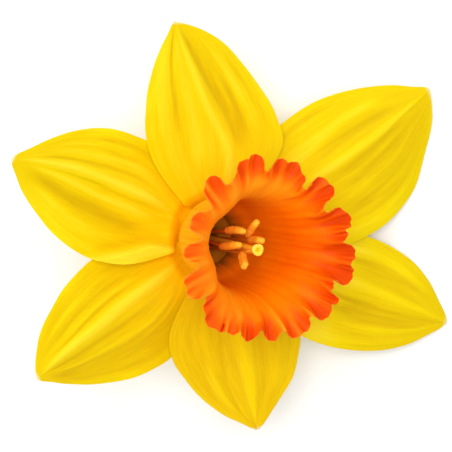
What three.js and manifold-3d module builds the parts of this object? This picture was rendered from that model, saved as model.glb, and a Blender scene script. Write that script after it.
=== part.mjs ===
// Daffodil flower: one picked bloom that lies face up on two petal tips and the end of its short stalk.
// Millimetres. The flower is drawn in its own frame first: +Z along the flower's axis, out of the cup, with
// the petals' base at z = 0. Then it is laid down: +Z is up, the floor is z = 0, the cup leans towards +X.
import * as THREE from "three";
import { mergeVertices } from "three/addons/utils/BufferGeometryUtils.js";
import Module from "manifold-3d";

const wasm = await Module();
wasm.setup();

// How the bloom lies on the floor
const REST_HEADING_DEG = 11.8;
const REST_TILT_DEG = 32.85;
const REST_LIFT = 22.93;
const REST_SHIFT_X = -5.38;
const REST_SHIFT_Y = -2.9;

// Petals: thickness, where they start round the tube, claw width and cross-section
const BLADE_THICKNESS = 0.6;
const PETAL_START_RADIUS = 6.9;
const CLAW_HALF_WIDTH = 2.2;
const CLAW_SPREAD = 3.2;
const TIP_HALF_WIDTH = 0.35;
const TIP_NUB = 0.9;
const SEAT_Z = -2.6;
const SEAT_RISE = 2.2;
const OVERLAP_LIFT = 0.95;
const RIDGE_DROP = 2.2;
const MIDRIB_HEIGHT = 0.45;
const EDGE_WAVE = 0.35;
const PETAL_ROWS = 18;
const PETAL_COLUMNS = 10;

// Shares of a petal's length, from claw to tip, at which its half-widths are given
const WIDTH_SHARES = [0, 0.15, 0.3, 0.45, 0.6, 0.75, 0.87, 0.95, 1];

// Each petal: azimuth of its base, length, sideways bow of the midrib at the tip and forward lift of the tip.
// For its left and its right side, as seen looking outward: whether the margin lies over (1) or under (-1)
// the neighbour, and its half-widths, with the blunt tip's nub last
const PETALS = [
  {
    name: "tepal_top", azimuth: 102.2, length: 36.8, bow: 10.1, lift: 9,
    left: { over: 1, halfWidths: [6.3, 10.6, 13, 13.1, 11.3, 8.3, 4.8, 2.2, TIP_NUB] },
    right: { over: 1, halfWidths: [7.7, 14.3, 16.9, 15.9, 14.1, 11.5, 8.8, 5.1, TIP_NUB] },
  },
  {
    name: "tepal_upper_right", azimuth: 39.1, length: 48, bow: 2.8, lift: 6,
    left: { over: -1, halfWidths: [6.9, 9.8, 11.6, 12.2, 11.2, 8.5, 5.3, 2.3, TIP_NUB] },
    right: { over: 1, halfWidths: [8.4, 12.3, 15.7, 17.6, 17.9, 16.1, 10.6, 6.1, TIP_NUB] },
  },
  {
    name: "tepal_lower_right", azimuth: -12.3, length: 47.1, bow: 1.5, lift: 6,
    left: { over: -1, halfWidths: [6.2, 8.2, 10, 11.4, 11.8, 10.4, 7.1, 3.3, TIP_NUB] },
    right: { over: -1, halfWidths: [5.8, 8.7, 11.1, 12.2, 11.8, 10, 6.9, 3.3, TIP_NUB] },
  },
  {
    name: "tepal_bottom", azimuth: -68.7, length: 30.8, bow: -2.5, lift: 9,
    left: { over: 1, halfWidths: [7.6, 11.6, 14.8, 14.7, 13.3, 10.9, 6.4, 3, TIP_NUB] },
    right: { over: 1, halfWidths: [7, 11.8, 14.5, 14.6, 12.6, 9.6, 6.1, 2.7, TIP_NUB] },
  },
  {
    name: "tepal_lower_left", azimuth: -140.5, length: 41, bow: 0.9, lift: 8,
    left: { over: -1, halfWidths: [7.3, 13, 15.4, 14.7, 12.7, 9.2, 5.4, 2.4, TIP_NUB] },
    right: { over: -1, halfWidths: [6.2, 8.1, 9.7, 11, 10.1, 8.1, 5.9, 3.2, TIP_NUB] },
  },
  {
    name: "tepal_upper_left", azimuth: 160.4, length: 41.5, bow: 7.1, lift: 8,
    left: { over: 1, halfWidths: [6.8, 12.3, 14.5, 14.6, 12.9, 9.4, 5.8, 2.7, TIP_NUB] },
    right: { over: -1, halfWidths: [5.4, 8.3, 11, 11.2, 10.7, 8.3, 5, 2.3, TIP_NUB] },
  },
];

// Corona: middle of its wall as radius and height, from the seat to the rim
const CORONA_THICKNESS = 0.6;
const CORONA_PROFILE = [
  [5.85, -3.0], [7.0, -0.8], [8.3, 2.2], [8.8, 7.0], [9.2, 12.0],
  [10.1, 16.5], [11.9, 20.4], [14.4, 23.2], [17.3, 24.9],
];
const CORONA_LEAN_X = 0.9;
const CORONA_LEAN_Y = -0.5;
const RIM_RADIUS = 17.3;
// The frill's lobes going round: azimuth and radius of the pinched notch before each one, then of its crest
const LOBES = [
  [-1, 16.7, 5, 17.6], [15, 14.2, 20.5, 15.5], [24.5, 15.1, 30, 17.4], [48, 12.3, 57, 17.1],
  [75, 12.9, 91, 17.3], [107, 15.3, 116, 18.6], [136.5, 16, 145, 19.5], [161, 16.9, 173, 18.4],
  [182, 17, 190, 18.9], [196, 16.8, 210, 19.6], [220.5, 17.9, 235, 19.5], [253.5, 17.1, 260, 18.1],
  [267.5, 15.5, 278, 17.4], [286, 14.5, 298, 17.5], [309, 14.7, 320, 17.6], [327.5, 16.1, 332, 17.3],
  [342, 13.3, 351, 17.9],
];
const LOBE_ROUNDNESS = 2.2;
const NOTCH_RISE = 0.4;
const PLEAT_DEPTH = 0.22;
const MOST_THICKENING = 1.8;
const CORONA_ROWS = 9;
const LOBE_STEPS = 10;

// Tube, ovary and the cut end of the stalk, along a bent middle line
const STALK_PATH = [
  [0, 0, -3.5], [0, 0, -8.0], [0, 0, -14.0], [-0.2, -0.1, -19.0],
  [-1.6, -0.6, -24.0], [-5.0, -1.6, -28.2], [-10.5, -3.1, -30.4],
];
const STALK_RADII = [
  [0, 6.6], [0.09, 4.2], [0.22, 2.9], [0.38, 2.7], [0.48, 3.3],
  [0.6, 3.9], [0.7, 3.1], [0.78, 2.1], [1, 1.9],
];
const TUBE_WALL = 0.8;
const TUBE_HOLLOW_SHARE = 0.4;

// Stamens: where each filament leaves the tube, the foot and the head of its anther
const FILAMENT_RADIUS = 0.4;
const ANTHER_RADIUS = 0.8;
const STAMENS = [
  { azimuth: 125, foot: [-1.9, 1.7, 9.5], head: [-1.7, 2.2, 17.0] },
  { azimuth: 200, foot: [-2.1, -1.2, 8.5], head: [-2.2, -0.1, 16.4] },
  { azimuth: 65, foot: [0.3, 1.9, 12.5], head: [0.4, 4.7, 17.0] },
  { azimuth: 265, foot: [0.1, -2.1, 12.0], head: [0.3, -4.8, 15.2] },
  { azimuth: 10, foot: [1.6, 0.9, 11.5], head: [1.7, 1.1, 18.6] },
  { azimuth: 320, foot: [1.5, -1.4, 9.0], head: [1.5, -1.6, 15.6] },
];

// Pistil: style and three-lobed stigma
const STYLE_RADIUS = 0.5;
const STIGMA_RADIUS = 1.15;
const PISTIL_PATH = [[0, 0, -13.0], [0, 0, 0], [-0.2, -0.3, 12.0], [-0.6, -0.8, 22.0]];

const YELLOW = 0xfad70a;
const ORANGE = 0xff6a00;
const GREEN = 0x9fb23c;
const POLLEN = 0xff9c12;
const STIGMA_YELLOW = 0xffd040;

// A soft step from 0 at a to 1 at b
function smoothStep(a, b, x) {
  const q = THREE.MathUtils.clamp((x - a) / (b - a), 0, 1);
  return q * q * (3 - 2 * q);
}

// A triangle mesh from a list of points and a list of corner triples
function meshGeometry(points, triangles) {
  const geometry = new THREE.BufferGeometry();
  geometry.setAttribute("position", new THREE.Float32BufferAttribute(points.flatMap((p) => p.toArray()), 3));
  geometry.setIndex(triangles);
  geometry.computeVertexNormals();
  return geometry;
}

// Two triangles for the grid square with corners a, b, c, d
function square(a, b, c, d) {
  return [a, b, c, a, c, d];
}

// A smooth curve through values given at rising places
function curveAt(places, values, x) {
  const k = Math.max(places.findIndex((place) => place >= x) - 1, 0);
  const span = places[k + 1] - places[k];
  const w = (x - places[k]) / span;
  const slope = (i) => {
    const before = Math.max(i - 1, 0);
    const after = Math.min(i + 1, places.length - 1);
    return (values[after] - values[before]) / (places[after] - places[before]);
  };
  const start = (2 * w ** 3 - 3 * w ** 2 + 1) * values[k] + (w ** 3 - 2 * w ** 2 + w) * span * slope(k);
  return start + (3 * w ** 2 - 2 * w ** 3) * values[k + 1] + (w ** 3 - w ** 2) * span * slope(k + 1);
}

// Outline of a petal: half-width of one side, s runs from the claw to the rounded tip
function petalHalfWidth(p, side, s) {
  const rounding = TIP_NUB * (1 - Math.sqrt(Math.max(1 - Math.pow(s, 60), 0)));
  const blade = Math.max(curveAt(WIDTH_SHARES, side.halfWidths, s) - rounding, 1e-6);
  const claw = CLAW_HALF_WIDTH + p.length * s * (1 + CLAW_SPREAD * s);
  return Math.max(Math.pow(Math.pow(blade, -4) + Math.pow(claw, -4), -0.25), TIP_HALF_WIDTH);
}

// Height of a petal's upper face over the flat star: seat, lift of the tip, overlaps, ridge and waved margin
function petalHeight(p, side, s, t, radius) {
  const across = Math.abs(t);
  const overlap = smoothStep(6.2, 8.8, radius) * (1 - smoothStep(34, 46, radius));
  const seat = SEAT_Z + SEAT_RISE * smoothStep(6, 10.5, radius);
  const laid = OVERLAP_LIFT * side.over * overlap * (0.35 + 0.65 * smoothStep(0, 0.7, across));
  const ridge = RIDGE_DROP * smoothStep(0.42, 0.85, s) * Math.pow(across, 1.4) * (1 - s ** 3);
  const midrib = MIDRIB_HEIGHT * Math.exp(-Math.pow(t / 0.16, 2)) * smoothStep(0.1, 0.3, s) * (1 - s * s);
  const wave = EDGE_WAVE * Math.pow(across, 4) * Math.sin(15 * s + p.azimuth + 2 * t) * (1 - s);
  return seat + p.lift * Math.pow(s, 1.5) + laid - ridge + midrib + wave * smoothStep(0.5, 0.7, s);
}

// A point of a petal's upper face: s from claw to tip, t from the right margin (-1) to the left one (1)
function petalPoint(p, s, t) {
  const azimuth = THREE.MathUtils.degToRad(p.azimuth);
  const side = t >= 0 ? p.left : p.right;
  const across = p.bow * s * s + petalHalfWidth(p, side, s) * t;
  const sag = PETAL_START_RADIUS - Math.sqrt(PETAL_START_RADIUS ** 2 - Math.min(across ** 2, 40));
  const along = PETAL_START_RADIUS + p.length * s - Math.pow(1 - s, 8) * sag;
  const x = along * Math.cos(azimuth) - across * Math.sin(azimuth);
  const y = along * Math.sin(azimuth) + across * Math.cos(azimuth);
  return new THREE.Vector3(x, y, petalHeight(p, side, s, t, Math.hypot(x, y)));
}

// The direction square to a petal's upper face
function petalNormal(p, s, t) {
  const step = 0.01;
  const alongStep = petalPoint(p, Math.min(s + step, 1), t).sub(petalPoint(p, Math.max(s - step, 0), t));
  const acrossStep = petalPoint(p, s, Math.min(t + step, 1)).sub(petalPoint(p, s, Math.max(t - step, -1)));
  const normal = alongStep.cross(acrossStep).normalize();
  return normal.z < 0 ? normal.negate() : normal;
}

// One petal: an upper and a lower grid with the same triangles, closed by a strip round the margin
function petalGeometry(p) {
  const points = [];
  const triangles = [];
  const width = PETAL_COLUMNS + 1;
  const sheet = (PETAL_ROWS + 1) * width;
  for (const depth of [0, BLADE_THICKNESS]) {
    for (let i = 0; i <= PETAL_ROWS; i++) {
      const s = Math.pow(i / PETAL_ROWS, 0.95);
      for (let j = 0; j <= PETAL_COLUMNS; j++) {
        const t = (2 * j) / PETAL_COLUMNS - 1;
        points.push(petalPoint(p, s, t).addScaledVector(petalNormal(p, s, t), -depth));
      }
    }
  }
  const at = (i, j) => i * width + j;
  for (let i = 0; i < PETAL_ROWS; i++) {
    for (let j = 0; j < PETAL_COLUMNS; j++) {
      const corners = [at(i, j), at(i + 1, j), at(i + 1, j + 1), at(i, j + 1)];
      const [a, b, c, d] = corners;
      triangles.push(a, b, c, a, c, d);
      triangles.push(a + sheet, c + sheet, b + sheet, a + sheet, d + sheet, c + sheet);
    }
  }
  const margin = [];
  for (let j = 0; j < PETAL_COLUMNS; j++) margin.push(at(0, j));
  for (let i = 0; i < PETAL_ROWS; i++) margin.push(at(i, PETAL_COLUMNS));
  for (let j = PETAL_COLUMNS; j > 0; j--) margin.push(at(PETAL_ROWS, j));
  for (let i = PETAL_ROWS; i > 0; i--) margin.push(at(i, 0));
  margin.forEach((a, k) => {
    const b = margin[(k + 1) % margin.length];
    triangles.push(...square(a, b, b + sheet, a + sheet));
  });
  return meshGeometry(points, triangles);
}

// The frill's edge in one lobe, share 0 at its notch, 0.5 at its crest and 1 at the next notch
function lobeAt(lobe, share) {
  const [notch, notchRadius, crest, crestRadius] = LOBES[lobe];
  const [nextNotch, nextRadius] = LOBES[(lobe + 1) % LOBES.length];
  const nextTurn = nextNotch < notch ? 360 : 0;
  const [end, endRadius] = share < 0.5 ? [notch, notchRadius] : [nextNotch + nextTurn, nextRadius];
  const fromCrest = 1 - Math.pow(1 - Math.abs(1 - 2 * share), 1.5);
  const span = THREE.MathUtils.degToRad(Math.abs(end - crest));
  const drop = crestRadius - endRadius;
  return {
    azimuth: THREE.MathUtils.degToRad(crest + (end - crest) * fromCrest),
    radius: crestRadius - drop * Math.pow(fromCrest, LOBE_ROUNDNESS),
    flank: (LOBE_ROUNDNESS * drop * Math.pow(fromCrest, LOBE_ROUNDNESS - 1)) / (span * RIM_RADIUS),
    notch: Math.pow(fromCrest, 3),
  };
}

// A point of the corona's wall with its pleats and its frill, u from the seat to the rim; the wall is drawn
// thicker where it runs steeply between a crest and a notch, so that it stays as thick across
function coronaPoint(profile, u, lobe, share, side) {
  const place = lobeAt(lobe, share);
  const middle = profile.getPoint(u);
  const along = profile.getTangent(u);
  const frill = Math.pow(smoothStep(0.5, 1, u), 1.6);
  const pleat = PLEAT_DEPTH * place.notch * smoothStep(0.15, 0.5, u) * (1 - frill);
  const thickening = Math.min(Math.hypot(1, place.flank * frill), MOST_THICKENING);
  const offset = (side * CORONA_THICKNESS * thickening) / 2;
  const radius = middle.x + offset * along.y + (place.radius - RIM_RADIUS) * frill - pleat;
  const height = middle.y - offset * along.x + NOTCH_RISE * (RIM_RADIUS - place.radius) * frill;
  const lean = Math.pow(Math.max(height, 0) / 25, 1.5);
  return new THREE.Vector3(
    radius * Math.cos(place.azimuth) + CORONA_LEAN_X * lean,
    radius * Math.sin(place.azimuth) + CORONA_LEAN_Y * lean,
    height,
  );
}

// The corona: an outer and an inner wall joined at the seat and at the rim
function coronaGeometry() {
  const profile = new THREE.SplineCurve(CORONA_PROFILE.map(([r, z]) => new THREE.Vector2(r, z)));
  const points = [];
  const triangles = [];
  const round = LOBES.length * LOBE_STEPS;
  const wall = (CORONA_ROWS + 1) * round;
  for (const side of [1, -1]) {
    for (let i = 0; i <= CORONA_ROWS; i++) {
      const u = 1 - Math.pow(1 - i / CORONA_ROWS, 1.2);
      for (let k = 0; k < round; k++) {
        const lobe = Math.floor(k / LOBE_STEPS);
        const share = (k % LOBE_STEPS) / LOBE_STEPS;
        points.push(coronaPoint(profile, u, lobe, share, side));
      }
    }
  }
  const at = (i, k) => i * round + (k % round);
  for (let k = 0; k < round; k++) {
    for (let i = 0; i < CORONA_ROWS; i++) {
      const [a, b, c, d] = [at(i, k), at(i, k + 1), at(i + 1, k + 1), at(i + 1, k)];
      triangles.push(a, b, c, a, c, d);
      triangles.push(a + wall, c + wall, b + wall, a + wall, d + wall, c + wall);
    }
    const [seatA, seatB] = [at(0, k), at(0, k + 1)];
    const [rimA, rimB] = [at(CORONA_ROWS, k), at(CORONA_ROWS, k + 1)];
    triangles.push(...square(seatA, seatA + wall, seatB + wall, seatB));
    triangles.push(...square(rimA, rimB, rimB + wall, rimA + wall));
  }
  return meshGeometry(points, triangles);
}

// A value read off a list of [share, value] pairs
function between(pairs, share) {
  const next = Math.max(pairs.findIndex(([at]) => at >= share), 1);
  const [from, a] = pairs[next - 1];
  const [to, b] = pairs[next];
  return a + (b - a) * smoothStep(from, to, share);
}

// Rings round a middle line: one ring of points for each [share, radius], radius may change with the angle
function rings(curve, shares, steps, radiusAt) {
  const frames = curve.computeFrenetFrames(200, false);
  return shares.map((share) => {
    const centre = curve.getPointAt(share);
    const n = frames.normals[Math.round(share * 200)];
    const b = frames.binormals[Math.round(share * 200)];
    return Array.from({ length: steps }, (_, k) => {
      const angle = (2 * Math.PI * k) / steps;
      const radius = radiusAt(share, angle);
      return centre.clone()
        .addScaledVector(n, radius * Math.cos(angle))
        .addScaledVector(b, radius * Math.sin(angle));
    });
  });
}

// Closes a row of rings into one solid with a cap at each end
function loftGeometry(rows, firstCentre, lastCentre) {
  const steps = rows[0].length;
  const points = [...rows.flat(), firstCentre, lastCentre];
  const triangles = [];
  const at = (i, k) => i * steps + (k % steps);
  const first = rows.length * steps;
  for (let k = 0; k < steps; k++) {
    for (let i = 0; i + 1 < rows.length; i++) {
      triangles.push(...square(at(i, k), at(i, k + 1), at(i + 1, k + 1), at(i + 1, k)));
    }
    triangles.push(first, at(0, k + 1), at(0, k));
    triangles.push(first + 1, at(rows.length - 1, k), at(rows.length - 1, k + 1));
  }
  return meshGeometry(points, triangles);
}

// A curve through a list of points
function curveThrough(list) {
  return new THREE.CatmullRomCurve3(list.map((p) => new THREE.Vector3(...p)), false, "centripetal");
}

// Evenly spaced shares of a line
function spaced(from, to, count) {
  return Array.from({ length: count + 1 }, (_, i) => from + ((to - from) * i) / count);
}

// The floral tube, hollow at the top, with the ovary and the cut end of the stalk below
function tubeGeometry() {
  const curve = curveThrough(STALK_PATH);
  const outer = rings(curve, spaced(0, 1, 22), 14, (share) => between(STALK_RADII, share));
  const innerRadius = (share) => between(STALK_RADII, share) - TUBE_WALL;
  const inner = rings(curve, spaced(0, TUBE_HOLLOW_SHARE, 7), 14, innerRadius);
  const rows = [...inner.reverse(), ...outer];
  return loftGeometry(rows, curve.getPointAt(TUBE_HOLLOW_SHARE), curve.getPointAt(1));
}

// One stamen: a thin filament that thickens into a long anther
function stamenGeometry(stamen) {
  const azimuth = THREE.MathUtils.degToRad(stamen.azimuth);
  const root = [1.35 * Math.cos(azimuth), 1.35 * Math.sin(azimuth), -9.0];
  const middle = [1.75 * Math.cos(azimuth), 1.75 * Math.sin(azimuth), 1.0];
  const neck = new THREE.Vector3(...stamen.foot);
  const head = new THREE.Vector3(...stamen.head);
  const curve = curveThrough([root, middle, neck.toArray(), head.toArray()]);
  const antherFrom = 1 - head.distanceTo(neck) / curve.getLength();
  const shares = [...spaced(0, antherFrom, 5), ...spaced(antherFrom, 1, 7).slice(1)];
  const radiusAt = (share) => {
    const q = THREE.MathUtils.clamp((share - antherFrom) / (1 - antherFrom), 0, 1);
    const swell = Math.pow(Math.sin(Math.PI * Math.min(q * 0.97 + 0.01, 1)), 0.45);
    return Math.max(FILAMENT_RADIUS * (1 - smoothStep(0.9, 1, q)), ANTHER_RADIUS * swell, 0.12);
  };
  return loftGeometry(rings(curve, shares, 7, radiusAt), curve.getPointAt(0), curve.getPointAt(1));
}

// The pistil: a long style with a three-lobed stigma on top
function pistilGeometry() {
  const curve = curveThrough(PISTIL_PATH);
  const shares = [...spaced(0, 0.93, 10), 0.945, 0.955, 0.965, 0.975, 0.985, 0.993, 1];
  const radiusAt = (share, angle) => {
    const q = THREE.MathUtils.clamp((share - 0.94) / 0.06, 0, 1);
    const lobed = STIGMA_RADIUS * (1 + 0.14 * Math.cos(3 * angle));
    const knob = Math.pow(Math.sin(Math.PI * Math.min(0.08 + q * 0.82, 1)), 0.5) * Math.min(q * 12, 1);
    return Math.max(STYLE_RADIUS * (1 - q), lobed * knob);
  };
  return loftGeometry(rings(curve, shares, 12, radiusAt), curve.getPointAt(0), curve.getPointAt(1));
}

// Lays a piece down from the flower's own frame onto the floor
function laidDown(geometry) {
  const turn = new THREE.Matrix4().makeRotationY(THREE.MathUtils.degToRad(REST_TILT_DEG));
  turn.multiply(new THREE.Matrix4().makeRotationZ(-THREE.MathUtils.degToRad(REST_HEADING_DEG)));
  turn.premultiply(new THREE.Matrix4().makeTranslation(REST_SHIFT_X, REST_SHIFT_Y, REST_LIFT));
  return geometry.applyMatrix4(turn);
}

// A geometry as a solid for cutting
function solidOf(geometry) {
  const vertProperties = new Float32Array(geometry.getAttribute("position").array);
  const triVerts = new Uint32Array(geometry.index.array);
  return new wasm.Manifold(new wasm.Mesh({ numProp: 3, vertProperties, triVerts }));
}

// Cuts away what lies under the floor, which leaves a small flat to rest on
function flattenedAtFloor(geometry) {
  const box = new THREE.BoxGeometry(300, 300, 20).translate(0, 0, -10);
  box.deleteAttribute("normal");
  box.deleteAttribute("uv");
  const cut = solidOf(geometry).subtract(solidOf(mergeVertices(box))).getMesh();
  const flat = new THREE.BufferGeometry();
  flat.setAttribute("position", new THREE.Float32BufferAttribute(cut.vertProperties, 3));
  flat.setIndex(Array.from(cut.triVerts));
  flat.computeVertexNormals();
  return flat;
}

// A named piece in its colour
function piece(name, geometry, color, roughness) {
  const material = new THREE.MeshStandardMaterial({ color, roughness, metalness: 0 });
  const mesh = new THREE.Mesh(flattenedAtFloor(laidDown(geometry)), material);
  mesh.name = name;
  return mesh;
}

const flower = new THREE.Group();
for (const p of PETALS) flower.add(piece(p.name, petalGeometry(p), YELLOW, 0.6));
flower.add(piece("corona", coronaGeometry(), ORANGE, 0.6));
flower.add(piece("floral_tube", tubeGeometry(), GREEN, 0.6));
STAMENS.forEach((stamen, i) => flower.add(piece("stamen_" + (i + 1), stamenGeometry(stamen), POLLEN, 0.8)));
flower.add(piece("pistil", pistilGeometry(), STIGMA_YELLOW, 0.6));

export default flower;
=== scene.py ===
"""Looks of a daffodil flower: six yellow petals, ruffled orange cup, stamens, pistil, tube and cut stalk."""

import math

import bpy
import numpy as np
from mathutils import Matrix, Vector


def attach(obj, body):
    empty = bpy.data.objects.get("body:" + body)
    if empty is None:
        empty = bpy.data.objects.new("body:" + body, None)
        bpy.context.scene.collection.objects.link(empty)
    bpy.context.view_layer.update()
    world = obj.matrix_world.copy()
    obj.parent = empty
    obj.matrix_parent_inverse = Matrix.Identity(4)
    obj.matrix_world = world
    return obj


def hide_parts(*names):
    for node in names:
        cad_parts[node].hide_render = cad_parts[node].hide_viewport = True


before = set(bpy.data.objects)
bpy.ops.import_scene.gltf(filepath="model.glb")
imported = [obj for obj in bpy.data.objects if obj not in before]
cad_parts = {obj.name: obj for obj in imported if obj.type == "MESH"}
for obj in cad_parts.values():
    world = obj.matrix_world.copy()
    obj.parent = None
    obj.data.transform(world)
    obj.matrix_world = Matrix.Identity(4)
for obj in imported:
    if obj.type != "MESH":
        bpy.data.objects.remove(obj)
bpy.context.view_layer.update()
MM = 0.001

# How the bloom lies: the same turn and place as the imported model, worked out by another program
REST_HEADING_DEG = 11.8
REST_TILT_DEG = 32.85
REST_LIFT = 22.93
REST_SHIFT = (-5.38, -2.9)

# Petals, in millimetres
PETAL_START_RADIUS = 6.9
CLAW_HALF_WIDTH = 3.7
CLAW_SPREAD = 3.2
TIP_HALF_WIDTH = 0.35
TIP_NUB = 0.9
SEAT_Z = -2.6
SEAT_RISE = 2.2
OVERLAP_LIFT = 0.7
RIDGE_DROP = 2.2
MIDRIB_HEIGHT = 0.45
EDGE_WAVE = 0.35
BLADE_MIDDLE = 0.5
BLADE_EDGE = 0.16
# Distances from the axis over which the lap over a neighbour comes and goes, and over which the seat rises
LAP_RISE = (6.2, 8.8)
LAP_FALL = (34, 46)
SEAT_RISE_OVER = (6, 10.5)
PETAL_ROWS = 150
PETAL_COLUMNS = 90
COLUMN_CROWDING = 0.94
VEIN_HEIGHT = 0.012
MARGIN_CRIMP = 0.14
# The two shares of the length at which a fold's place across the blade is given
FOLD_NEAR = 0.2
FOLD_FAR = 0.9
FOLD_SWAY = 0.012
FOLD_SQUARENESS = 2.8

# Shares of a petal's length at which its half-widths are given, the blunt tip's nub last
WIDTH_SHARES = [0, 0.15, 0.3, 0.45, 0.6, 0.75, 0.87, 0.95, 1]

# name: azimuth, length, bow, lift, then left and right: over (1) or under (-1) its neighbour, half-widths.
# Azimuth, length, bow and half-widths aren't drawn by hand: another program fitted them to the photograph
PETALS = {
    "tepal_top": (
        102.2, 36.8, 10.1, 9,
        (1, [6.3, 10.6, 13.0, 13.1, 11.3, 8.3, 4.8, 2.2, TIP_NUB]),
        (1, [7.7, 14.3, 16.9, 15.9, 14.1, 11.5, 8.8, 5.1, TIP_NUB]),
    ),
    "tepal_upper_right": (
        39.1, 48.0, 2.8, 6,
        (-1, [6.9, 9.8, 11.6, 12.2, 11.2, 8.5, 5.3, 2.3, TIP_NUB]),
        (1, [8.4, 12.3, 15.7, 17.6, 17.9, 16.1, 10.6, 6.1, TIP_NUB]),
    ),
    "tepal_lower_right": (
        -12.3, 47.1, 1.5, 6,
        (-1, [6.2, 8.2, 10.0, 11.4, 11.8, 10.4, 7.1, 3.3, TIP_NUB]),
        (-1, [5.8, 8.7, 11.1, 12.2, 11.8, 10.0, 6.9, 3.3, TIP_NUB]),
    ),
    "tepal_bottom": (
        -68.7, 30.8, -2.5, 9,
        (1, [7.6, 11.6, 14.8, 14.7, 13.3, 10.9, 6.4, 3.0, TIP_NUB]),
        (1, [7.0, 11.8, 14.5, 14.6, 12.6, 9.6, 6.1, 2.7, TIP_NUB]),
    ),
    "tepal_lower_left": (
        -140.5, 41.0, 0.9, 8,
        (-1, [7.3, 13.0, 15.4, 14.7, 12.7, 9.2, 5.4, 2.4, TIP_NUB]),
        (-1, [6.2, 8.1, 9.7, 11.0, 10.1, 8.1, 5.9, 3.2, TIP_NUB]),
    ),
    "tepal_upper_left": (
        160.4, 41.5, 7.1, 8,
        (1, [6.8, 12.3, 14.5, 14.6, 12.9, 9.4, 5.8, 2.7, TIP_NUB]),
        (-1, [5.4, 8.3, 11.0, 11.2, 10.7, 8.3, 5.0, 2.3, TIP_NUB]),
    ),
}

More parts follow.
